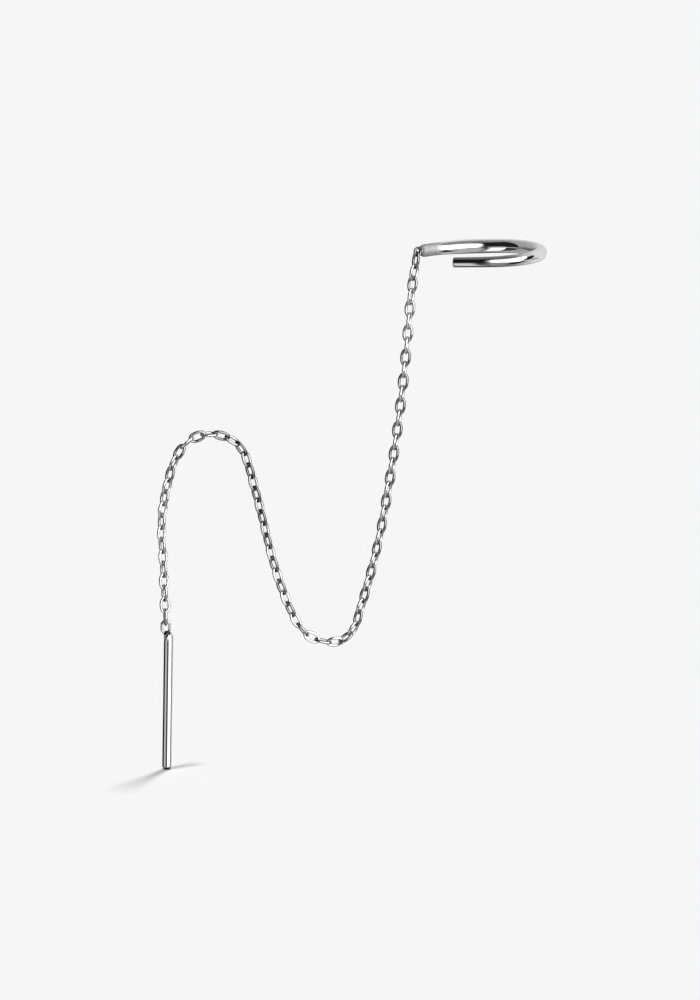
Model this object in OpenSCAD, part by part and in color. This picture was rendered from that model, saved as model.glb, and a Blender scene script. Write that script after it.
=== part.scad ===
// Threader ear cuff: an open wire cuff for the ear's rim, a fine cable chain
// and a straight bar that passes through the lobe and hangs below it.
// Millimetres, +Z up as worn, the side of the head behind (+Y). The origin is the
// middle of the cuff's round bend, where the rim of the ear lies in the cuff.

/* [Ear cuff] */
// Radius of the round bend, to the middle of the wire
bend_r = 4.5; // [4.3:0.1:5]
// Length of the short arm, from the bend to the cut end
short_arm = 3.65; // [3:0.05:4.2]
// Length of the long arm's straighter stretch, next to the bend
mid_arm = 2.7; // [2:0.05:3.5]
// Length of the long arm's curved stretch, up to the eye
long_arm = 5.4; // [4.5:0.05:6]
// How far the ring is tipped down toward the chain, in degrees
cuff_tilt = 2; // [0:0.5:5]
// Bevel round each end of the wire
end_bevel = 0.12; // [0.05:0.01:0.2]

/* [Chain] */
// Number of links
link_count = 73; // [70:1:78]
// Thickness of a link's wire
link_wire_d = 0.21; // [0.19:0.01:0.22]
// Outer width of a link
link_w = 1.1; // [1.06:0.02:1.2]
// Play between two links that hold each other
link_gap = 0.13; // [0.12:0.01:0.14]

/* [Bar] */
// Thickness of the bar
bar_d = 0.9; // [0.8:0.02:1]
// Length of the bar, from its domed foot to the solder
bar_len = 13.6; // [11:0.1:15]
// Height of the dome at the foot
dome_h = 0.2; // [0.1:0.02:0.3]
// Lean of the bar as it hangs, in degrees
bar_lean = 1.2; // [0:0.1:3]
// How far the bar's axis lies beside the middle of its eye
bar_offset = 0.3; // [0:0.02:0.3]

/* [Eyes] */
// Thickness of the wire of both eyes
eye_wire_d = 0.25; // [0.22:0.01:0.26]
// Radius of an eye's round ends, to the middle of the wire
eye_r = 0.38; // [0.36:0.01:0.42]
// Straight length of the bar's long eye
eye_straight = 0.4; // [0.3:0.05:0.6]
// How deep an eye sits in its solder
eye_sink = 0.08; // [0.05:0.01:0.12]

/* [Hidden] */
$fn = 48;

// Roundness of the swept solids
wire_sides = 20;
bend_steps = 40;
arm_steps = 6;
link_sides = 12;
link_wire_sides = 6;

// Shape of a link's outline: 2 is an ellipse, more is squarer
link_squareness = 3;

// Headings of the cuff's wire in plan, in degrees: at the cut end, where the
// round bend starts and stops, along the long arm and at the eye
cut_heading = -11.5;
bend_start = -3;
bend_stop = 169;
mid_heading = 178;
end_heading = 221;

// Thickness of the cuff's wire, which is hammered a little unevenly
// Columns: share of the length from the cut end, thickness
CUFF_WIRE = [
    [0, 0.96],
    [0.12, 0.98],
    [0.17, 1.04],
    [0.23, 1.1],
    [0.33, 1.19],
    [0.44, 1.26],
    [0.58, 1.32],
    [0.7, 1.35],
    [0.79, 1.38],
    [0.85, 1.35],
    [0.9, 1.26],
    [0.94, 1.2],
    [1, 1.22]
];

// The chain's hanging line, from the cuff's eye to the bar's eye
// Columns: across and up from the middle of the cuff's eye, twist in degrees
ACROSS = 0;
UP = 1;
TWIST = 2;
ROUTE = [
    [-0.1, -0.22, -28],
    [-0.55, -3.5, -58],
    [-0.95, -8.1, -75],
    [-1.4, -12.95, -75],
    [-2, -17.95, -68],
    [-2.7, -22.6, -61],
    [-3.5, -27.25, -55],
    [-4.5, -31.6, -51],
    [-5.5, -35.1, -46],
    [-6.2, -37.25, -40],
    [-6.95, -38.05, -28],
    [-8.1, -38.4, -13],
    [-9.45, -38.2, 3],
    [-10.85, -37.45, 23],
    [-11.7, -36.25, 38],
    [-12.75, -33.9, 45],
    [-14, -30, 45],
    [-15.05, -25.55, 45],
    [-16, -21.8, 45],
    [-16.7, -19.55, 48],
    [-17.5, -18.5, 56],
    [-18.6, -17.95, 67],
    [-20.05, -17.75, 82],
    [-21.3, -18, 93],
    [-22.35, -18.75, 110],
    [-23.4, -20.4, 126],
    [-24, -22.4, 134],
    [-24.5, -24.75, 138],
    [-24.7, -27.25, 140],
    [-24.55, -29.8, 144],
    [-24.45, -33.2, 154],
    [-24.35, -36.45, 170]
];
route_steps = 10;

// The cuff's wire in plan: arcs that run on from one another
function arc_r(length, turn) = length / turn * 180 / PI;
function arc_step(from, to, r) = r * [sin(to) - sin(from), cos(from) - cos(to), 0];
function within(v, low, high) = max(low, min(high, v));

short_arm_r = arc_r(short_arm, bend_start - cut_heading);
mid_arm_r = arc_r(mid_arm, mid_heading - bend_stop);
long_arm_r = arc_r(long_arm, end_heading - mid_heading);
bend_len = bend_r * (bend_stop - bend_start) * PI / 180;
cuff_len = short_arm + bend_len + mid_arm + long_arm;

// Heading of the wire at a length s from the cut end
function cuff_heading(s) = lookup(s, [
    [0, cut_heading],
    [short_arm, bend_start],
    [short_arm + bend_len, bend_stop],
    [cuff_len - long_arm, mid_heading],
    [cuff_len, end_heading]
]);

// Middle of the wire where its heading is a
function cuff_point(a) =
    [0, -bend_r, 0]
    + arc_step(0, within(a, bend_start, bend_stop), bend_r)
    + arc_step(bend_start, min(a, bend_start), short_arm_r)
    + arc_step(bend_stop, within(a, bend_stop, mid_heading), mid_arm_r)
    + arc_step(mid_heading, max(a, mid_heading), long_arm_r);

// Where the cuff's eye is soldered on, before the ring is tipped and after
eye_outer_r = eye_r + eye_wire_d / 2;
end_dir = [cos(end_heading), sin(end_heading), 0];
eye_in_plan = cuff_point(end_heading) + (eye_outer_r - eye_sink) * end_dir;
eye_at = [
    eye_in_plan[0] * cos(cuff_tilt),
    eye_in_plan[1],
    eye_in_plan[0] * sin(cuff_tilt)
];

// Half the distance between the two wires that cross where links meet
link_flat_r = link_wire_d / 2 * cos(180 / link_wire_sides);
lap = link_flat_r + link_gap / 2;
eye_lap = eye_wire_d / 2 + link_flat_r + link_gap;

// Where the bar hangs: the lowest wire of the last link
route_end = ROUTE[len(ROUTE) - 1];
pivot = eye_at + [route_end[ACROSS], 0, route_end[UP] - lap];
dome_r = (pow(bar_d / 2, 2) + pow(dome_h, 2)) / (2 * dome_h);
solder_r = 0.3;
bar_top_d = 0.66;
bar_top_h = 0.3;

// Solids swept from rings of points

// Faces of a tube of rings, counted from the vertex number first
function tube_faces(rings, sides, closed, first) = [
    for (i = [0 : rings - (closed ? 1 : 2)])
        for (j = [0 : sides - 1])
            let (
                k = (i + 1) % rings,
                m = (j + 1) % sides
            )
                for (half = [0, 1])
                    half == 0
                        ? [first + i * sides + j, first + i * sides + m, first + k * sides + m]
                        : [first + i * sides + j, first + k * sides + m, first + k * sides + j]
];

// A flat cap over one end ring, turned outward
function cap_faces(ring, sides, flip) = [
    [for (j = [0 : sides - 1]) ring * sides + (flip ? sides - 1 - j : j)]
];

// A ring of points round a centre, in the plane of two unit directions
function ring(centre, side, up, r, sides, start) = [
    for (j = [0 : sides - 1])
        let (a = start + 360 * j / sides)
            centre + r * (cos(a) * side + sin(a) * up)
];

function unit(v) = v / norm(v);

// Ear cuff

// Lengths at which the wire has a ring, with two close ones for each bevel
cuff_stations = concat(
    [0, end_bevel],
    [for (i = [1 : arm_steps - 1]) short_arm * i / arm_steps],
    [for (i = [0 : bend_steps]) short_arm + bend_len * i / bend_steps],
    [for (i = [1 : arm_steps]) short_arm + bend_len + mid_arm * i / arm_steps],
    [for (i = [1 : arm_steps - 1]) cuff_len - long_arm * (1 - i / arm_steps)],
    [cuff_len - end_bevel, cuff_len]
);

module cuff_wire() {
    count = len(cuff_stations);
    rings = [
        for (i = [0 : count - 1])
            let (
                s = cuff_stations[i],
                a = cuff_heading(s),
                bevel = (i == 0 || i == count - 1) ? end_bevel : 0,
                r = lookup(s / cuff_len, CUFF_WIRE) / 2 - bevel
            )
                each ring(cuff_point(a), [sin(a), -cos(a), 0], [0, 0, 1], r, wire_sides, 0)
    ];
    polyhedron(
        rings,
        concat(
            tube_faces(count, wire_sides, false, 0),
            cap_faces(0, wire_sides, false),
            cap_faces(count - 1, wire_sides, true)
        )
    );
}

module ear_cuff() {
    color("silver")
        rotate([0, -cuff_tilt, 0])
            union() {
                cuff_wire();
                translate(eye_in_plan)
                    rotate([90, 0, end_heading])
                        rotate_extrude()
                            translate([eye_r, 0])
                                circle(d = eye_wire_d);
            }
}

// Chain

// Slope of the route at a row, so that the line passes its rows smoothly
function route_slope(i) =
    let (
        last = len(ROUTE) - 1,
        b = i > 0 ? ROUTE[i] - ROUTE[i - 1] : ROUTE[1] - ROUTE[0],
        c = i < last ? ROUTE[i + 1] - ROUTE[i] : ROUTE[last] - ROUTE[last - 1],
        lb = norm([b[ACROSS], b[UP]]),
        lc = norm([c[ACROSS], c[UP]])
    )
        (b / lb * lc + c / lc * lb) / (lb + lc);

// A point between two rows, at a share u of the way
function route_between(i, u) =
    let (
        p = ROUTE[i],
        q = ROUTE[i + 1],
        span = norm([q[ACROSS] - p[ACROSS], q[UP] - p[UP]])
    )
        p * (1 + 2 * u) * pow(1 - u, 2)
        + q * (3 - 2 * u) * pow(u, 2)
        + route_slope(i) * span * u * pow(1 - u, 2)
        + route_slope(i + 1) * span * (u - 1) * pow(u, 2);

route_fine = concat(
    [
        for (i = [0 : len(ROUTE) - 2])
            for (j = [0 : route_steps - 1])
                route_between(i, j / route_steps)
    ],
    [route_end]
);

function step_len(i) = norm([
    route_fine[i + 1][ACROSS] - route_fine[i][ACROSS],
    route_fine[i + 1][UP] - route_fine[i][UP]
]);

// Length of the line from its start to each fine point
route_lens = [
    for (i = 0, s = 0; i < len(route_fine); s = s + (i < len(route_fine) - 1 ? step_len(i) : 0), i = i + 1)
        s
];
route_len = route_lens[len(route_lens) - 1];
pitch = route_len / link_count;

// The line at a length s, one column at a time
function on_route(s, column) =
    lookup(s, [for (i = [0 : len(route_fine) - 1]) [route_lens[i], route_fine[i][column]]]);

// The points where neighbouring links hold each other
joints = [
    for (k = [0 : link_count])
        eye_at + [on_route(k * pitch, ACROSS), 0, on_route(k * pitch, UP)]
];

function oval_power(v) = sign(v) * pow(abs(v), 2 / link_squareness);

// Half length and half width of a link's oval, to the middle of its wire
// The corners straddle each end, so that a flat stretch of wire meets the next link
first_corner = 180 / link_sides;
link_half_len = (pitch / 2 + lap) / oval_power(cos(first_corner));
link_half_w = (link_w - link_wire_d) / 2;

// All points of one link: an oval of round wire along its own plane
function link_points(k) =
    let (
        a = joints[k],
        b = joints[k + 1],
        along = unit(b - a),
        flat = cross([0, 1, 0], along),
        roll = on_route((k + 0.5) * pitch, TWIST) + (k % 2 == 0 ? 90 : 0),
        across = cos(roll) * flat + sin(roll) * [0, 1, 0],
        out_of_plane = cross(along, across),
        middle = (a + b) / 2
    )
        [
            for (i = [0 : link_sides - 1])
                let (
                    t = first_corner + 360 * i / link_sides,
                    x = link_half_len * oval_power(cos(t)),
                    y = link_half_w * oval_power(sin(t)),
                    normal = unit([cos(t) * link_half_w, sin(t) * link_half_len]),
                    outward = normal[0] * along + normal[1] * across
                )
                    each ring(
                        middle + x * along + y * across,
                        outward,
                        out_of_plane,
                        link_wire_d / 2,
                        link_wire_sides,
                        180 / link_wire_sides
                    )
        ];

module chain() {
    link_size = link_sides * link_wire_sides;
    color("gainsboro")
        polyhedron(
            [for (k = [0 : link_count - 1]) each link_points(k)],
            [
                for (k = [0 : link_count - 1])
                    each tube_faces(link_sides, link_wire_sides, true, k * link_size)
            ]
        );
}

// Bar

// Half of an eye's wire, bent round and lying in the plane of the bar
module eye_bend() {
    rotate([90, 0, 0])
        rotate_extrude(angle = 180)
            translate([eye_r, 0])
                circle(d = eye_wire_d);
}

// The long eye, with the middle of its upper bend at the origin
module bar_eye() {
    eye_bend();
    translate([0, 0, -eye_straight])
        mirror([0, 0, 1])
            eye_bend();
    for (side = [-1, 1])
        translate([side * eye_r, 0, -eye_straight])
            cylinder(d = eye_wire_d, h = eye_straight);
}

// The rod, with its top at the origin
module bar_rod() {
    straight = bar_len - dome_h - bar_top_h;
    translate([0, 0, -bar_top_h])
        cylinder(d1 = bar_d, d2 = bar_top_d, h = bar_top_h);
    translate([0, 0, -bar_top_h - straight])
        cylinder(d = bar_d, h = straight);
    intersection() {
        translate([0, 0, -bar_len])
            cylinder(d = bar_d, h = dome_h);
        translate([0, 0, dome_r - bar_len])
            sphere(r = dome_r);
    }
}

module bar() {
    eye_top = eye_lap - eye_r;
    eye_foot = eye_top - eye_straight - eye_outer_r;
    color("lightgray")
        translate(pivot)
            rotate([0, bar_lean, 0])
                union() {
                    translate([0, 0, eye_top])
                        bar_eye();
                    translate([bar_offset / 2, 0, eye_foot])
                        sphere(r = solder_r);
                    translate([bar_offset, 0, eye_foot + eye_sink])
                        bar_rod();
                }
}

ear_cuff();
chain();
bar();
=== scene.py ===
"""Threader ear cuff in polished silver: an open wire cuff, a fine cable chain, a straight bar."""

import math

import bmesh
import bpy
from mathutils import Matrix, Vector


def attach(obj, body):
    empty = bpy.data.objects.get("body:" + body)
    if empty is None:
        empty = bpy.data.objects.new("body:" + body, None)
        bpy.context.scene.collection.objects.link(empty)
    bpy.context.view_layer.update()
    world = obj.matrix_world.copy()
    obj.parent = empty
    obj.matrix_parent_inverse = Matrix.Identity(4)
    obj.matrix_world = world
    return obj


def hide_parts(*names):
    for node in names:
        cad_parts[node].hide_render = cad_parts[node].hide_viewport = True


MM = 0.001

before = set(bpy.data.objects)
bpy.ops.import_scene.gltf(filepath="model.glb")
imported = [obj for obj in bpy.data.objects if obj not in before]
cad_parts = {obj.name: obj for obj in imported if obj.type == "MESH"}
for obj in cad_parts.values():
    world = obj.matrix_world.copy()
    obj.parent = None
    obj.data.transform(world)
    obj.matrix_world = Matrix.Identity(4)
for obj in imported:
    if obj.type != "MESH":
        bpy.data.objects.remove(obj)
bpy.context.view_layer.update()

# The part's own sizes, in millimetres and degrees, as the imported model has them.
# The cuff's wire runs from its cut end round the bend to its eye, heading as given at each change
BEND_R = 4.5
SHORT_ARM, MID_ARM, LONG_ARM = 3.65, 2.7, 5.4
CUT_HEADING, BEND_START, BEND_STOP, MID_HEADING, END_HEADING = -11.5, -3, 169, 178, 221
CUFF_TILT = 2
# Share of the cuff's length from the cut end, and the wire's thickness there
CUFF_WIRE = [
    (0, 0.96), (0.12, 0.98), (0.17, 1.04), (0.23, 1.1), (0.33, 1.19), (0.44, 1.26), (0.58, 1.32),
    (0.7, 1.35), (0.79, 1.38), (0.85, 1.35), (0.9, 1.26), (0.94, 1.2), (1, 1.22),
]
# Both eyes: their wire, the radius to its middle, and how deep they sit. The bar's eye is long
EYE_WIRE, EYE_R, EYE_STRAIGHT, EYE_SINK = 0.25, 0.38, 0.4, 0.08
LINK_COUNT = 73
# The bar swings on a line this far under the chain's last joint, and its eye rises this far above
LAP = 0.1559
EYE_LAP = 0.3459
BAR_D, BAR_LEN, DOME_H, BAR_LEAN, BAR_OFFSET = 0.9, 13.6, 0.2, 1.2, 0.3

# The chain's line from the cuff's eye to the bar's eye: across, up, twist in degrees
ROUTE = [
    (-0.1, -0.22, -28), (-0.55, -3.5, -58), (-0.95, -8.1, -75), (-1.4, -12.95, -75),
    (-2, -17.95, -68), (-2.7, -22.6, -61), (-3.5, -27.25, -55), (-4.5, -31.6, -51),
    (-5.5, -35.1, -46), (-6.2, -37.25, -40), (-6.95, -38.05, -28), (-8.1, -38.4, -13),
    (-9.45, -38.2, 3), (-10.85, -37.45, 23), (-11.7, -36.25, 38), (-12.75, -33.9, 45),
    (-14, -30, 45), (-15.05, -25.55, 45), (-16, -21.8, 45), (-16.7, -19.55, 48),
    (-17.5, -18.5, 56), (-18.6, -17.95, 67), (-20.05, -17.75, 82), (-21.3, -18, 93),
    (-22.35, -18.75, 110), (-23.4, -20.4, 126), (-24, -22.4, 134), (-24.5, -24.75, 138),
    (-24.7, -27.25, 140), (-24.55, -29.8, 144), (-24.45, -33.2, 154), (-24.35, -36.45, 170),
]
ROUTE_STEPS = 10


def table(rows, value):
    """Straight-line reading of a table of (value, result) rows."""
    for (a, fa), (b, fb) in zip(rows, rows[1:]):
        if value <= b:
            break
    return fa + (fb - fa) * (value - a) / (b - a)


def within(value, low, high):
    return max(low, min(high, value))


def smooth_table(rows, value, reach, half=4):
    """The table's reading, averaged over spots on a stretch, so that it has no corners."""
    spots = [value + reach * (i / half) for i in range(-half, half + 1)]
    return sum(table(rows, within(s, rows[0][0], rows[-1][0])) for s in spots) / len(spots)


def linear(code):
    """An sRGB hex colour as the linear colour that a shader takes."""
    parts = [int(code[i:i + 2], 16) / 255 for i in (1, 3, 5)]
    return [c / 12.92 if c <= 0.04045 else ((c + 0.055) / 1.055) ** 2.4 for c in parts] + [1]


def add(tree, kind, inputs=None, **settings):
    """Adds a node with its settings, and gives each input a value or a link."""
    node = tree.nodes.new(kind)
    for name, value in settings.items():
        setattr(node, name, value)
    for name, value in (inputs or {}).items():
        if isinstance(value, bpy.types.NodeSocket):
            tree.links.new(value, node.inputs[name])
        else:
            node.inputs[name].default_value = value
    return node


# Camera: the photograph's view, slightly from above, with the cuff's bend at its own pixel
PX = 0.095
PHOTO_WIDE, PHOTO_HIGH = 700, 1000
BEND_PX, BEND_PY = 493.0, 253.85
PITCH = math.radians(12.2)
CAMERA_FAR = 500
SENSOR = 36
NEAREST, FURTHEST = 0.01, 20

bend_right = (BEND_PX - PHOTO_WIDE / 2) * PX
bend_up = (PHOTO_HIGH / 2 - BEND_PY) * PX
camera_data = bpy.data.cameras.new("camera")
camera = bpy.data.objects.new("camera", camera_data)
bpy.context.scene.collection.objects.link(camera)
camera.location = Vector((
    -bend_right,
    -bend_up * math.sin(PITCH) - CAMERA_FAR * math.cos(PITCH),
    -bend_up * math.cos(PITCH) + CAMERA_FAR * math.sin(PITCH),
)) * MM
camera.rotation_euler = (math.pi / 2 - PITCH, 0, 0)
camera_data.sensor_fit = "VERTICAL"
camera_data.sensor_height = SENSOR
camera_data.lens = SENSOR * CAMERA_FAR / (PHOTO_HIGH * PX)
camera_data.clip_start = NEAREST
camera_data.clip_end = FURTHEST
bpy.context.scene.camera = camera
bpy.context.scene.view_settings.view_transform = "Standard"


# Shapes, all in millimetres until they are finished

def circle(bm, r, sides, place):
    """A ring of edges of radius r, in the XY plane of a placement."""
    made = bmesh.ops.create_circle(bm, cap_ends=False, segments=sides, radius=r, matrix=place)
    return list({e for v in made["verts"] for e in v.link_edges})


def sweep(bm, ring, places):
    """Pulls a ring of edges from place to place and returns the last ring."""
    for before, after in zip(places, places[1:]):
        made = bmesh.ops.extrude_edge_only(bm, edges=ring)["geom"]
        verts = [g for g in made if isinstance(g, bmesh.types.BMVert)]
        ring = [g for g in made if isinstance(g, bmesh.types.BMEdge)]
        ring = [e for e in ring if all(v in verts for v in e.verts)]
        bmesh.ops.transform(bm, matrix=after @ before.inverted(), verts=verts)
    return ring


def place_at(point, side, up, scale=1.0):
    """A placement whose X and Y are the given directions, at a point."""
    side, up = Vector(side).normalized(), Vector(up).normalized()
    turn = Matrix((side, up, side.cross(up))).transposed().to_4x4()
    return Matrix.Translation(Vector(point)) @ turn @ Matrix.Scale(scale, 4)


def finished(bm, name):
    """Turns a bmesh in millimetres into a smooth object in metres."""
    bmesh.ops.recalc_face_normals(bm, faces=bm.faces)
    bmesh.ops.scale(bm, vec=(MM, MM, MM), verts=bm.verts)
    mesh = bpy.data.meshes.new(name)
    bm.to_mesh(mesh)
    bm.free()
    for face in mesh.polygons:
        face.use_smooth = True
    piece = bpy.data.objects.new(name, mesh)
    bpy.context.scene.collection.objects.link(piece)
    return piece


def solid_rod(name, sides, places):
    """Round metal through its placements, closed at both ends."""
    bm = bmesh.new()
    first = circle(bm, 1, sides, places[0])
    last = sweep(bm, first, places)
    for ring in (first, last):
        bmesh.ops.edgeloop_fill(bm, edges=ring)
    return finished(bm, name)


# Grain of the melted pieces, and how strongly each round of smoothing softens them
MELT_GRAIN, SOFTEN = 0.02, 0.5


def melted(bm, name, rounds):
    """Melts overlapping solids into one skin with soft creases, as solder does."""
    mesh = bpy.data.meshes.new("raw")
    bm.to_mesh(mesh)
    bm.free()
    raw = bpy.data.objects.new("raw", mesh)
    bpy.context.scene.collection.objects.link(raw)
    remesh = raw.modifiers.new("melt", "REMESH")
    remesh.mode = "VOXEL"
    remesh.voxel_size = MELT_GRAIN
    soften = raw.modifiers.new("soften", "SMOOTH")
    soften.factor = SOFTEN
    soften.iterations = rounds
    graph = bpy.context.evaluated_depsgraph_get()
    skin = bpy.data.meshes.new_from_object(raw.evaluated_get(graph))
    bpy.data.objects.remove(raw)
    bpy.data.meshes.remove(mesh)
    bm = bmesh.new()
    bm.from_mesh(skin)
    return finished(bm, name)


def loop_path(r, straight, bend_steps, side_steps):
    """Points and outward directions round an oval of two half circles and two straight sides."""
    spots = []
    for end in (1, -1):
        for i in range(bend_steps + 1):
            t = math.pi * (i / bend_steps - 0.5)
            x, y = end * math.cos(t), end * math.sin(t)
            spots.append((Vector((end * straight / 2 + r * x, r * y, 0)), Vector((x, y, 0))))
        for i in range(1, side_steps):
            x = end * straight * (0.5 - i / side_steps)
            spots.append((Vector((x, end * r, 0)), Vector((0, end, 0))))
    return spots


def oval_path(half_long, half_wide, squareness, steps):
    """Points and outward directions round an oval: squareness 2 is an ellipse, more is squarer."""
    spots = []
    for i in range(steps):
        t = math.tau * i / steps
        c, n = math.cos(t), math.sin(t)
        x = half_long * math.copysign(abs(c) ** (2 / squareness), c)
        y = half_wide * math.copysign(abs(n) ** (2 / squareness), n)
        spots.append((Vector((x, y, 0)), Vector((c * half_wide, n * half_long, 0))))
    return spots


def wire_loop(bm, spots, wire_r, sides, where, swell=None):
    """A closed loop of round wire along spots, which swells where the table says."""
    places = []
    for i, (point, out) in enumerate(spots):
        r = wire_r * (swell or {}).get(i, 1)
        places.append(where @ place_at(point, out, (0, 0, 1), r))
    first = circle(bm, 1, sides, places[0])
    last = sweep(bm, first, places)
    bmesh.ops.bridge_loops(bm, edges=first + last)


EYE_SIDES = 20


def eye(name, where, straight, bend_steps, side_steps):
    """An eye of round wire: a ring, or a long loop where it has straight sides."""
    bm = bmesh.new()
    spots = loop_path(EYE_R, straight, bend_steps, side_steps)
    wire_loop(bm, spots, EYE_WIRE / 2, EYE_SIDES, where)
    return melted(bm, name, rounds=3)


BEAD_AROUND, BEAD_DOWN = 24, 16


def solder(name, where, beads, rounds):
    """Beads of solder melted together, each given by its middle and its half sizes."""
    bm = bmesh.new()
    for middle, sizes in beads:
        bead = where @ Matrix.Translation(middle) @ Matrix.Diagonal((*sizes, 1))
        bmesh.ops.create_uvsphere(
            bm, u_segments=BEAD_AROUND, v_segments=BEAD_DOWN, radius=1, matrix=bead,
        )
    return melted(bm, name, rounds)


# The cuff's line in plan

def arc_step(start, stop, r):
    """The way that a bend of radius r goes from one heading to another."""
    a, b = math.radians(start), math.radians(stop)
    return Vector((math.sin(b) - math.sin(a), math.cos(a) - math.cos(b), 0)) * r


def arc_r(length, turn):
    return length / math.radians(turn)


BEND_LEN = BEND_R * math.radians(BEND_STOP - BEND_START)
CUFF_LEN = SHORT_ARM + BEND_LEN + MID_ARM + LONG_ARM
SHORT_R = arc_r(SHORT_ARM, BEND_START - CUT_HEADING)
MID_R = arc_r(MID_ARM, MID_HEADING - BEND_STOP)
LONG_R = arc_r(LONG_ARM, END_HEADING - MID_HEADING)
# Length from the cut end, and the wire's heading there
HEADINGS = [
    (0, CUT_HEADING),
    (SHORT_ARM, BEND_START),
    (SHORT_ARM + BEND_LEN, BEND_STOP),
    (CUFF_LEN - LONG_ARM, MID_HEADING),
    (CUFF_LEN, END_HEADING),
]


def cuff_point(heading):
    """Where the middle of the cuff's wire is when it has a heading."""
    return (
        Vector((0, -BEND_R, 0))
        + arc_step(0, within(heading, BEND_START, BEND_STOP), BEND_R)
        + arc_step(BEND_START, min(heading, BEND_START), SHORT_R)
        + arc_step(BEND_STOP, within(heading, BEND_STOP, MID_HEADING), MID_R)
        + arc_step(MID_HEADING, max(heading, MID_HEADING), LONG_R)
    )


WIRE_SIDES = 48
CUFF_STEPS = 150
# Radius of the wire's two end edges: the cut end is filed, the end at the eye is rounded off
CUT_ROUND, EYE_ROUND = 0.13, 0.36
END_STEPS = 10
# Share of the length over which the wire's thickness is evened out
EVEN_OUT = 0.04
# A hair less than the solid, so that polishing never leaves the solid's box
SKIN = 0.998
tilt = Matrix.Rotation(math.radians(-CUFF_TILT), 4, "Y")


def cuff_place(s, r):
    """The cuff's round section at a length s from the cut end."""
    heading = table(HEADINGS, s)
    out = (math.sin(math.radians(heading)), -math.cos(math.radians(heading)), 0)
    return tilt @ place_at(cuff_point(heading), out, (0, 0, 1), r)


def cuff_r(s):
    return smooth_table(CUFF_WIRE, s / CUFF_LEN, EVEN_OUT) / 2 * SKIN


def rounded_end(start, inward, soft):
    """Placements from an end face of the cuff's wire inward, over an edge rounded to a radius."""
    places = []
    for i in range(END_STEPS + 1):
        t = math.radians(90 * i / END_STEPS)
        s = start + inward * soft * (1 - math.cos(t))
        places.append(cuff_place(s, cuff_r(s) - soft * (1 - math.sin(t))))
    return places


places = rounded_end(0, 1, CUT_ROUND)
body = CUFF_LEN - CUT_ROUND - EYE_ROUND
for i in range(1, CUFF_STEPS):
    s = CUT_ROUND + body * i / CUFF_STEPS
    places.append(cuff_place(s, cuff_r(s)))
places += reversed(rounded_end(CUFF_LEN, -1, EYE_ROUND))
cuff = solid_rod("cuff", WIRE_SIDES, places)

# The cuff's eye, a ring with next to no straight side, and the bead that ties it to the end face
RING_STRAIGHT = 0.001
CUFF_BEAD_OUT, CUFF_BEAD = 0.04, (0.15, 0.34, 0.3)
eye_outer = EYE_R + EYE_WIRE / 2
end_turn = math.radians(END_HEADING)
end_dir = Vector((math.cos(end_turn), math.sin(end_turn), 0))
eye_in_plan = cuff_point(END_HEADING) + end_dir * (eye_outer - EYE_SINK)
eye_at = tilt @ eye_in_plan
eye_place = tilt @ place_at(eye_in_plan, end_dir, (0, 0, 1))
cuff_eye = eye("cuff_eye", eye_place, RING_STRAIGHT, bend_steps=24, side_steps=2)
beads = [((CUFF_BEAD_OUT - eye_outer, 0, 0), CUFF_BEAD)]
cuff_solder = solder("cuff_solder", eye_place, beads, rounds=4)

# The chain's line: a smooth curve through the route's points, read in short steps
ACROSS, UP, TWIST = 0, 1, 2


def blend_rows(rows, shares):
    return [sum(row[c] * share for row, share in zip(rows, shares)) for c in range(3)]


def span(a, b):
    return math.hypot(b[ACROSS] - a[ACROSS], b[UP] - a[UP])


def route_slope(i):
    """The route's change for each millimetre at one of its points."""
    last = len(ROUTE) - 1
    before = (ROUTE[i - 1], ROUTE[i]) if i > 0 else (ROUTE[0], ROUTE[1])
    after = (ROUTE[i], ROUTE[i + 1]) if i < last else (ROUTE[last - 1], ROUTE[last])
    lb, lc = span(*before), span(*after)
    b = blend_rows((before[1], before[0]), (1 / lb, -1 / lb))
    c = blend_rows((after[1], after[0]), (1 / lc, -1 / lc))
    return blend_rows((b, c), (lc / (lb + lc), lb / (lb + lc)))


def route_between(i, u):
    """The route a share u of the way from one of its points to the next."""
    reach = span(ROUTE[i], ROUTE[i + 1])
    return blend_rows(
        (ROUTE[i], ROUTE[i + 1], route_slope(i), route_slope(i + 1)),
        (
            (1 + 2 * u) * (1 - u) ** 2,
            (3 - 2 * u) * u ** 2,
            reach * u * (1 - u) ** 2,
            reach * (u - 1) * u ** 2,
        ),
    )


fine = [
    route_between(i, j / ROUTE_STEPS)
    for i in range(len(ROUTE) - 1)
    for j in range(ROUTE_STEPS)
]
fine.append(list(ROUTE[-1]))
lengths = [0]
for a, b in zip(fine, fine[1:]):
    lengths.append(lengths[-1] + span(a, b))
pitch = lengths[-1] / LINK_COUNT


def on_route(s, column):
    return table([(length, point[column]) for length, point in zip(lengths, fine)], s)


joints = [
    eye_at + Vector((on_route(k * pitch, ACROSS), 0, on_route(k * pitch, UP)))
    for k in range(LINK_COUNT + 1)
]

# One link: drawn wire bent to an oval and closed with a small bead of solder on one side
LINK_WIRE, LINK_WIDE = 0.275, 1.07
LINK_SIDES, LINK_STEPS = 16, 40
LINK_SQUARENESS = 2.25
LINK_PLAY = 0.008
SEAM_SWELL, SEAM_FLANK = 1.08, 1.04
# Each link hangs a few degrees off its neighbours, as loose links do, and some are turned over
LOOSE_TURN, LOOSE_STRIDE = 4, 2.4
TURNED_OVER = 3

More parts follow.
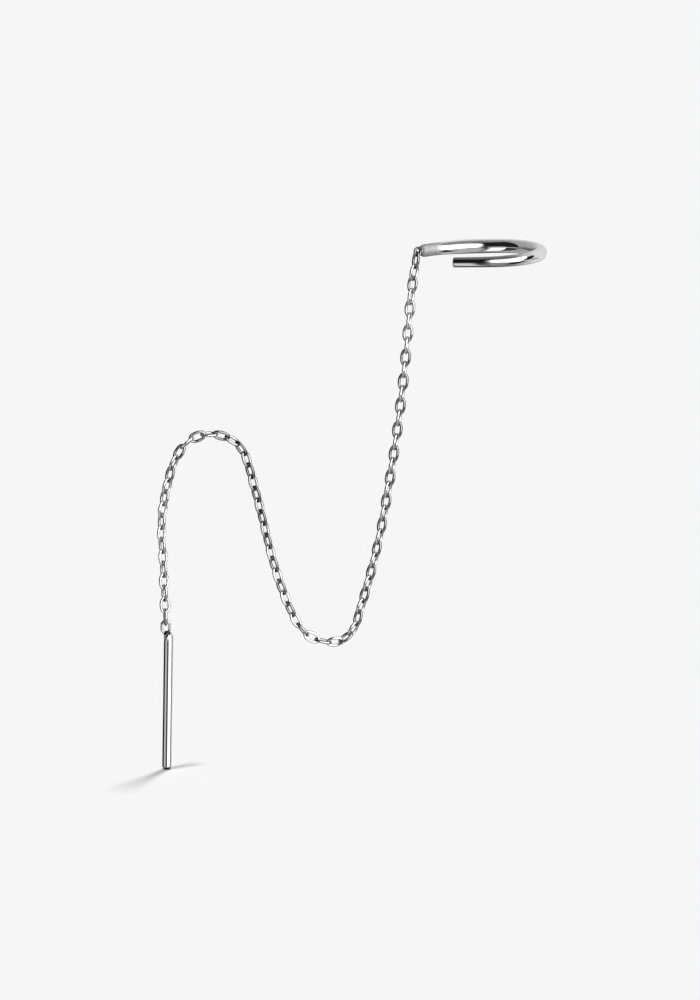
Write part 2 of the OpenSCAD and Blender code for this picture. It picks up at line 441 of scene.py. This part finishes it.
half_long = (pitch + LINK_WIRE + LINK_PLAY) / 2
half_wide = (LINK_WIDE - LINK_WIRE) / 2
seam = LINK_STEPS // 4
swell = {seam: SEAM_SWELL, seam - 1: SEAM_FLANK, seam + 1: SEAM_FLANK}
bm = bmesh.new()
spots = oval_path(half_long, half_wide, LINK_SQUARENESS, LINK_STEPS)
wire_loop(bm, spots, LINK_WIRE / 2, LINK_SIDES, Matrix(), swell)
bmesh.ops.recalc_face_normals(bm, faces=bm.faces)
link = bpy.data.meshes.new("link")
bm.to_mesh(link)
bm.free()

# Every other link stands across its neighbours, and takes the chain's second finish. The two
# finishes are shaded and lit copies of one silver: painted shade and painted light
bm = bmesh.new()
depth = Vector((0, 1, 0))
for k in range(LINK_COUNT):
    a, b = joints[k], joints[k + 1]
    along = (b - a).normalized()
    flat = depth.cross(along)
    loose = LOOSE_TURN * math.sin(LOOSE_STRIDE * k)
    crosswise = 90 if k % 2 == 0 else 0
    roll = math.radians(on_route((k + 0.5) * pitch, TWIST) + crosswise + loose)
    across = math.cos(roll) * flat + math.sin(roll) * depth
    known_verts, known_faces = len(bm.verts), len(bm.faces)
    bm.from_mesh(link)
    bm.verts.ensure_lookup_table()
    bm.faces.ensure_lookup_table()
    for face in bm.faces[known_faces:]:
        face.material_index = k % 2
    where = place_at((a + b) / 2, along, across)
    if k % TURNED_OVER == 0:
        where = where @ Matrix.Rotation(math.pi, 4, "X")
    bmesh.ops.transform(bm, matrix=where, verts=bm.verts[known_verts:])
chain = finished(bm, "links")

# The bar: a drawn rod with a soft top and a domed foot, its long eye and the solder between them
ROD_SIDES = 64
# How far down the rod, and its radius there as a share of the top's
TOP_R, TOP_H = 0.33, 0.3
TOP_EDGE = [(0, 0.6), (0.03, 0.9), (0.08, 1.04)]
SHOULDER_STEPS, SHAFT_STEPS, DOME_STEPS = 8, 24, 10
FOOT_ROUND = 0.15
FOOT_TIP_R = 0.002
# The beads: across and up from the foot of the bar's eye, and their half sizes
BAR_BEADS = [((0.08, 0.04), (0.28, 0.29, 0.27)), ((0.26, -0.05), (0.33, 0.29, 0.27))]

pivot = eye_at + Vector((ROUTE[-1][ACROSS], 0, ROUTE[-1][UP] - LAP))
hang = Matrix.Translation(pivot) @ Matrix.Rotation(math.radians(BAR_LEAN), 4, "Y")
eye_top = EYE_LAP - EYE_R
eye_foot = eye_top - EYE_STRAIGHT - eye_outer
rod_top = eye_foot + EYE_SINK
rod_r = BAR_D / 2
dome_r = (rod_r ** 2 + DOME_H ** 2) / (2 * DOME_H)
dome_turn = math.asin((rod_r - FOOT_ROUND) / (dome_r - FOOT_ROUND))
corner = BAR_LEN - dome_r + (dome_r - FOOT_ROUND) * math.cos(dome_turn)


def rod_place(z, r):
    """The bar's round section at a height z from the rod's top."""
    return hang @ Matrix.Translation((BAR_OFFSET, 0, rod_top + z)) @ Matrix.Scale(r, 4)


places = [rod_place(-down, TOP_R * share) for down, share in TOP_EDGE]
edge_down, edge_r = TOP_EDGE[-1][0], TOP_R * TOP_EDGE[-1][1]
for i in range(1, SHOULDER_STEPS + 1):
    t = i / SHOULDER_STEPS
    r = edge_r + (rod_r - edge_r) * (1 - (1 - t) ** 2)
    places.append(rod_place(-edge_down - (TOP_H - edge_down) * t, r))
for i in range(1, SHAFT_STEPS + 1):
    places.append(rod_place(-TOP_H - (corner - TOP_H) * i / SHAFT_STEPS, rod_r))
for i in range(1, DOME_STEPS):
    t = (math.pi / 2 - dome_turn) * i / DOME_STEPS
    r = rod_r - FOOT_ROUND * (1 - math.cos(t))
    places.append(rod_place(-corner - FOOT_ROUND * math.sin(t), r))
for i in range(DOME_STEPS + 1):
    t = dome_turn * (1 - i / DOME_STEPS)
    r = max(dome_r * math.sin(t), FOOT_TIP_R)
    places.append(rod_place(-BAR_LEN + dome_r * (1 - math.cos(t)), r))
bar = solid_rod("threader_bar", ROD_SIDES, places)
foot_tip = rod_place(-BAR_LEN, 1).translation

upright = place_at((0, 0, eye_top - EYE_STRAIGHT / 2), (0, 0, 1), (1, 0, 0))
bar_eye = eye("bar_eye", hang @ upright, EYE_STRAIGHT, bend_steps=20, side_steps=4)
beads = [((x, 0, eye_foot + z), sizes) for (x, z), sizes in BAR_BEADS]
bar_solder = solder("bar_solder", hang, beads, rounds=6)


# Finishes: all of it is silver under a thin grey film, and differs in its polish and its film

# Light crosses more of the film toward an edge, and with a dark edge tint this darkens thin wire
# at its edges: painted dark outlines, painted shade for mirrored dark surroundings
FILM_IOR, FILM_ROUGH = 1.03, 0.1
NO_EDGE = "#ffffff"
# The polish is clearer and hazier in patches half a millimetre long. The cloth's marks are finer
# than this on real silver, and are drawn as coarse as they need to be to show
HAZE_LONG, HAZE_FROM, HAZE_TO = 0.5, 0.3, 0.7
MARK_LONG = 0.03
# Round the flame's point the skin is matte, and on the thin arm the film is darker, as painted
# shade
HEAT_NEAR, HEAT_FAR, HEAT_ROUGH, HEAT_FILM = 1.9, 2.9, 0.8, 0.6
ARM_SHADE_NEAR, ARM_SHADE_FAR = 5.2, 7.8
# The bar's foot is painted dark up to its rounded edge, a painted reflection
FOOT_REFLECTION_NEAR, FOOT_REFLECTION_FAR = 0.47, 0.55
# Stretches of the chain with painted light (a thinner film) and painted shade (a thicker film),
# round a point across and up from the cuff's eye: full within the first distance and gone beyond
# the second
PAINTED_LIGHT_STRETCHES = ((-0.9, -6, 2, 4), (-8.7, -38.3, 0, 4), (-20, -17.8, 0, 3.5), (-25, -30, 6, 9))
PAINTED_SHADE_STRETCHES = ((-16, -22.5, 4.5, 7.5),)


def fade(tree, spot, centre, near, far, value):
    """A value that is full within the near distance of a point and nothing beyond the far one."""
    away = add(tree, "ShaderNodeVectorMath", {0: spot, 1: centre * MM}, operation="DISTANCE")
    return add(tree, "ShaderNodeMapRange", {
        "Value": away.outputs["Value"], "From Min": near * MM, "From Max": far * MM,
        "To Min": value, "To Max": 0,
    }).outputs["Result"]


def silver(name, tone, edge, film, rough, wave_long, wave_high, mark_high):
    """Polished silver: a mirror that keeps the maker's soft waves and fine polishing marks."""
    material = bpy.data.materials.new(name)
    material.use_nodes = True
    tree = material.node_tree
    tree.nodes.clear()
    spot = add(tree, "ShaderNodeTexCoord", name="spot").outputs["Object"]
    haze = add(tree, "ShaderNodeTexNoise", {
        "Vector": spot, "Scale": 1 / (HAZE_LONG * MM), "Detail": 4,
    })
    polish = add(tree, "ShaderNodeMapRange", {
        "Value": haze.outputs["Fac"], "From Min": HAZE_FROM, "From Max": HAZE_TO,
        "To Min": rough[0], "To Max": rough[1],
    }, name="polish")
    waves = add(tree, "ShaderNodeTexNoise", {
        "Vector": spot, "Scale": 1 / (wave_long * MM), "Detail": 1,
    })
    wavy = add(tree, "ShaderNodeBump", {
        "Height": waves.outputs["Fac"], "Distance": wave_high * MM, "Strength": 1,
    })
    marks = add(tree, "ShaderNodeTexNoise", {
        "Vector": spot, "Scale": 1 / (MARK_LONG * MM), "Detail": 2,
    })
    marked = add(tree, "ShaderNodeBump", {
        "Height": marks.outputs["Fac"], "Distance": mark_high * MM, "Strength": 1,
        "Normal": wavy.outputs["Normal"],
    })
    shader = add(tree, "ShaderNodeBsdfPrincipled", {
        "Base Color": linear(tone), "Metallic": 1, "Specular Tint": linear(edge),
        "Roughness": polish.outputs["Result"], "Normal": marked.outputs["Normal"],
        "Coat Weight": 1, "Coat Roughness": FILM_ROUGH, "Coat IOR": FILM_IOR,
        "Coat Tint": linear(film),
    }, name="shader")
    add(tree, "ShaderNodeOutputMaterial", {"Surface": shader.outputs["BSDF"]})
    return material


def heated_and_shaded_silver(name, film, dark_film, **finish):
    """Silver with the matte skin that a flame leaves, and painted shade: a darker film on the thin
    arm.
    """
    material = silver(name, film=film, **finish)
    tree = material.node_tree
    spot, shader = tree.nodes["spot"].outputs["Object"], tree.nodes["shader"]
    polish = tree.nodes["polish"].outputs["Result"]
    matte = fade(tree, spot, eye_at, HEAT_NEAR, HEAT_FAR, HEAT_ROUGH)
    rougher = add(tree, "ShaderNodeMath", {0: polish, 1: matte}, operation="MAXIMUM")
    tree.links.new(rougher.outputs[0], shader.inputs["Roughness"])
    heated = fade(tree, spot, eye_at, HEAT_NEAR, HEAT_FAR, HEAT_FILM)
    # Painted shade: a darker film on the thin arm, near its cut end
    cut_end = tilt @ cuff_point(CUT_HEADING)
    painted_arm_shade = fade(tree, spot, cut_end, ARM_SHADE_NEAR, ARM_SHADE_FAR, 1)
    cover = add(tree, "ShaderNodeMath", {0: heated, 1: painted_arm_shade}, operation="MAXIMUM")
    tint = add(tree, "ShaderNodeMix", {
        0: cover.outputs[0], 6: linear(film), 7: linear(dark_film),
    }, data_type="RGBA")
    tree.links.new(tint.outputs[2], shader.inputs["Coat Tint"])
    return material


def patched_silver(name, film, patches, **finish):
    """Silver whose grey film is thinner or thicker round some points, for painted light and
    painted shade.
    """
    material = silver(name, film=film, **finish)
    tree = material.node_tree
    spot, shader = tree.nodes["spot"].outputs["Object"], tree.nodes["shader"]
    tint = linear(film)
    for patch_film, centre, near, far in patches:
        here = fade(tree, spot, centre, near, far, 1)
        mixed = add(tree, "ShaderNodeMix", {
            0: here, 6: tint, 7: linear(patch_film),
        }, data_type="RGBA")
        tint = mixed.outputs[2]
    tree.links.new(tint, shader.inputs["Coat Tint"])
    return material


def link_silver(name, edge, film, painted_light_film, painted_shade_film):
    """Fine drawn wire, with a thinner film where light is painted on the chain and a thicker one
    where shade is painted.
    """
    patches = [
        (patch_film, eye_at + Vector((across, 0, up)), near, far)
        for patch_film, stretches in ((painted_light_film, PAINTED_LIGHT_STRETCHES), (painted_shade_film, PAINTED_SHADE_STRETCHES))
        for across, up, near, far in stretches
    ]
    return patched_silver(
        name, film, patches, tone="#f8f8f8", edge=edge,
        rough=(0.03, 0.07), wave_long=0.5, wave_high=0.001, mark_high=0.0001,
    )


# Cuff: silver wire, hammered round its bend and polished. Its mirror has slow waves, so the
# reflections swell and wander. Toward the eye it is matte, and the short arm is greyer with
# painted shade
hammered_silver = heated_and_shaded_silver(
    "hammered_silver", film="#fafafa", dark_film="#c8c8c8", tone="#ebebeb", edge=NO_EDGE,
    rough=(0.02, 0.06), wave_long=1.6, wave_high=0.004, mark_high=0.0001,
)
# Every other link, and both eyes: a shaded copy of the link silver, painted shade that makes them
# grey with black edges
shaded_link_silver = link_silver(
    "shaded_link_silver_wire", edge="#141414", film="#a0a0a0",
    painted_light_film="#cccccc", painted_shade_film="#8c8c8c",
)
# The links between them: a lit copy of the same silver, painted light, so they glint white inside
# a thin painted dark outline
lit_link_silver = link_silver(
    "lit_link_silver_wire", edge="#202020", film="#e6e6e6",
    painted_light_film="#f0f0f0", painted_shade_film="#c0c0c0",
)
# Bar: drawn rod, straight and even, so its reflections are clean bands from end to end. The tip
# of the foot is painted dark, a painted reflection of the dark line where it meets the table
drawn_silver = patched_silver(
    "drawn_silver_rod", "#eeeeee", [("#686868", foot_tip, FOOT_REFLECTION_NEAR, FOOT_REFLECTION_FAR)],
    tone="#f0f0f0", edge=NO_EDGE,
    rough=(0.03, 0.07), wave_long=1.2, wave_high=0.001, mark_high=0.0001,
)
# Solder left as it flowed: frosted and pale on the cuff, smoother and dark grey on the bar
matte_solder = silver(
    "matte_silver_solder", tone="#dcdcdc", edge=NO_EDGE, film="#e0e0e0",
    rough=(0.4, 0.6), wave_long=0.3, wave_high=0.01, mark_high=0.0005,
)
grey_solder = silver(
    "grey_silver_solder", tone="#6e6e6e", edge=NO_EDGE, film="#8c8c8c",
    rough=(0.15, 0.3), wave_long=0.3, wave_high=0.01, mark_high=0.0005,
)
for piece, finishes in (
    (cuff, [hammered_silver]),
    (cuff_eye, [shaded_link_silver]),
    (cuff_solder, [matte_solder]),
    (chain, [shaded_link_silver, lit_link_silver]),
    (bar, [drawn_silver]),
    (bar_eye, [shaded_link_silver]),
    (bar_solder, [grey_solder]),
):
    for material in finishes:
        piece.data.materials.append(material)

# Floor: a sheet of matte paper just under the bar's foot, one even pale tone that takes its
# shadow. It is 6 m wide, so that no view sees its edge
PAPER = "#f6f6f6"
FLOOR_SIZE = 6
FLOOR_GAP = 0.02
bm = bmesh.new()
foot = min((bar.matrix_world @ v.co).z for v in bar.data.vertices)
bmesh.ops.create_grid(
    bm, x_segments=1, y_segments=1, size=FLOOR_SIZE / 2,
    matrix=Matrix.Translation((0, FLOOR_SIZE / 4, foot - FLOOR_GAP * MM)),
)
floor_mesh = bpy.data.meshes.new("floor")
bm.to_mesh(floor_mesh)
bm.free()
floor = bpy.data.objects.new("floor", floor_mesh)
bpy.context.scene.collection.objects.link(floor)
floor.visible_glossy = False
paper = bpy.data.materials.new("pale_paper")
paper.use_nodes = True
paper.node_tree.nodes.clear()
matte = add(paper.node_tree, "ShaderNodeBsdfDiffuse", {"Color": linear(PAPER)})
add(paper.node_tree, "ShaderNodeOutputMaterial", {"Surface": matte.outputs["BSDF"]})
floor_mesh.materials.append(paper)

# The studio that the metal mirrors, by turn from straight ahead and by height, in degrees
world = bpy.data.worlds.new("studio")
bpy.context.scene.world = world
world.use_nodes = True
tree = world.node_tree
tree.nodes.clear()
ray = add(tree, "ShaderNodeTexCoord").outputs["Generated"]
axes = add(tree, "ShaderNodeSeparateXYZ", {"Vector": ray})
front = add(tree, "ShaderNodeMath", {0: axes.outputs["Y"], 1: -1}, operation="MULTIPLY")
turn = add(
    tree, "ShaderNodeMath", {0: axes.outputs["X"], 1: front.outputs[0]}, operation="ARCTAN2",
)
turn = add(tree, "ShaderNodeMath", {0: turn.outputs[0]}, operation="DEGREES").outputs[0]
height = add(tree, "ShaderNodeMath", {0: axes.outputs["Z"]}, operation="ARCSINE")
height = add(tree, "ShaderNodeMath", {0: height.outputs[0]}, operation="DEGREES").outputs[0]

# The room round the table, from straight behind over the left to straight behind over the right
ROOM = [
    (-180, "#ececec"), (-165, "#d4d4d4"), (-145, "#b8b8b8"), (-100, "#acacac"), (-70, "#a4a4a4"),
    (60, "#b4b4b4"), (92, "#dcdcdc"), (118, "#f8f8f8"), (150, "#f0f0f0"), (180, "#ececec"),
]
round_room = add(tree, "ShaderNodeMapRange", {"Value": turn, "From Min": -180, "From Max": 180})
room = add(tree, "ShaderNodeValToRGB", {"Fac": round_room.outputs["Result"]})
ramp = room.color_ramp
while len(ramp.elements) < len(ROOM):
    ramp.elements.new(0.5)
for element, (at, tone) in zip(ramp.elements, ROOM):
    element.position = (at + 180) / 360
    element.color = linear(tone)

# Panels laid over the room, each over those before it: left, right, low, high, softness of the
# edges, tone, power, and how much the sides lean
EVERY_WAY = 400
SOFTBOX_LEFT, SOFTBOX_RIGHT, SOFTBOX_POWER = -7.3, 64, 2.6
STRIP = (-18.5, -11.5, 1.5)
PANELS = [
    # The ceiling, the floor and the shade behind the table
    (-EVERY_WAY, EVERY_WAY, 62, 120, 9, "#949494", 1, 0),
    (-EVERY_WAY, EVERY_WAY, -120, -60, 9, "#c0c0c0", 1, 0),
    (-EVERY_WAY, -166, -78, -14, 5, "#5c5c5c", 1, 0),
    (166, EVERY_WAY, -78, -14, 5, "#5c5c5c", 1, 0),
    (-172, -80, -11, 5, 5, "#808080", 1, 0),
    # The dark left side of the studio with a light gap low down
    (-79, SOFTBOX_LEFT, -6, 71, 3, "#222222", 1, 0),
    (-79, SOFTBOX_LEFT, -90, -2, 3, "#3c3c3c", 1, 0),
    (-39, -13, -80, -8, 2.5, "#ffffff", 1.35, 0),
    # The pale table under the softbox, whose sides are softer low down, and a dark patch on it
    (SOFTBOX_LEFT, SOFTBOX_RIGHT, -90, -16, 4, "#c0c0c0", 1, 0),
    (SOFTBOX_LEFT, SOFTBOX_RIGHT, -90, -36, 9, "#c0c0c0", 1, 0),
    (38, 75, -60, -24, 5, "#404040", 1, 0),
    # The flag at the softbox's right edge, and the softbox with its two leaning sides
    (59, 90, -60, 34, 3, "#242424", 1, 0.5),
    (SOFTBOX_LEFT, 50, -16, 50, 2, "#ffffff", SOFTBOX_POWER, -0.08),
    (12, SOFTBOX_RIGHT, -16, 50, 2, "#ffffff", SOFTBOX_POWER, 0.6),
    # Strips at table height, which upright wire and the bar mirror
    (-EVERY_WAY, -82, *STRIP, "#202020", 1, 0),
    (-77, -39, *STRIP, "#d8d8d8", 1, 0),
    (-36, 6, *STRIP, "#484848", 1, 0),
    (6, 91, *STRIP, "#ffffff", 1.25, 0),
    (91, 116, *STRIP, "#202020", 1, 0),
    (24, 62, *STRIP, "#ffffff", SOFTBOX_POWER, 0),
]


def panel(shade, left, right, low, high, soft, tone, power, lean):
    """Lays a soft-edged panel over what is there."""
    leant = add(tree, "ShaderNodeMath", {0: height, 1: -lean, 2: turn}, operation="MULTIPLY_ADD")
    leant = leant.outputs[0]
    cover = None
    for value, edge, way in (
        (leant, left, soft), (leant, right, -soft), (height, low, soft), (height, high, -soft),
    ):
        step = add(tree, "ShaderNodeMapRange", {
            "Value": value, "From Min": edge - way, "From Max": edge + way,
        }, interpolation_type="SMOOTHSTEP").outputs["Result"]
        if cover is not None:
            both = add(tree, "ShaderNodeMath", {0: cover, 1: step}, operation="MULTIPLY")
            step = both.outputs[0]
        cover = step
    colour = [c * power for c in linear(tone)[:3]] + [1]
    mixed = add(tree, "ShaderNodeMix", {0: cover, 6: shade, 7: colour}, data_type="RGBA")
    return mixed.outputs[2]


shade = room.outputs["Color"]
for row in PANELS:
    shade = panel(shade, *row)

# Only the metal mirrors the studio: the backdrop is as pale as the paper, and a little plain even
# light falls on what is matte
AMBIENT = 0.08
path = add(tree, "ShaderNodeLightPath")
backdrop = add(tree, "ShaderNodeBackground", {"Color": linear(PAPER)})
even = add(tree, "ShaderNodeBackground", {"Color": linear("#ffffff"), "Strength": AMBIENT})
mirrored = add(tree, "ShaderNodeBackground", {"Color": shade})
light = add(tree, "ShaderNodeMixShader", {
    0: path.outputs["Is Glossy Ray"], 1: even.outputs[0], 2: mirrored.outputs[0],
})
light = add(tree, "ShaderNodeMixShader", {
    0: path.outputs["Is Camera Ray"], 1: light.outputs[0], 2: backdrop.outputs[0],
})
add(tree, "ShaderNodeOutputWorld", {"Surface": light.outputs[0]})


def sun(name, toward, steep, share, softness):
    """A wide soft light whose shadow falls toward a direction on the floor."""
    steep = math.radians(steep)
    flat = Vector((*toward, 0)).normalized() * math.cos(steep)
    data = bpy.data.lights.new(name, "SUN")
    data.energy = share * math.pi / math.sin(steep)
    data.angle = math.radians(softness)
    lamp = bpy.data.objects.new(name, data)
    bpy.context.scene.collection.objects.link(lamp)
    ray = flat - Vector((0, 0, math.sin(steep)))
    lamp.rotation_euler = ray.to_track_quat("-Z", "Y").to_euler()
    lamp.visible_glossy = False


sun("lamp_behind_right", toward=(-4.9, -8.8), steep=59, share=0.49, softness=12)
sun("lamp_front_left", toward=(2.9, 2.1), steep=77, share=0.43, softness=7.5)
# On the floor only the bar's shadow shows, as in the photograph
for piece in (cuff, cuff_eye, cuff_solder, chain):
    piece.visible_shadow = False

# What each piece belongs to
for piece, body, node, slot in (
    (cuff, "cuff_and_chain", "ear_cuff", "cuff_silver"),
    (cuff_eye, "cuff_and_chain", "ear_cuff", "cuff_silver"),
    (cuff_solder, "cuff_and_chain", "ear_cuff", "cuff_silver"),
    (chain, "cuff_and_chain", "chain", "chain_silver"),
    (bar, "hanging_bar", "bar", "bar_silver"),
    (bar_eye, "hanging_bar", "bar", "bar_silver"),
    (bar_solder, "hanging_bar", "bar", "bar_silver"),
):
    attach(piece, body)
    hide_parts(node)
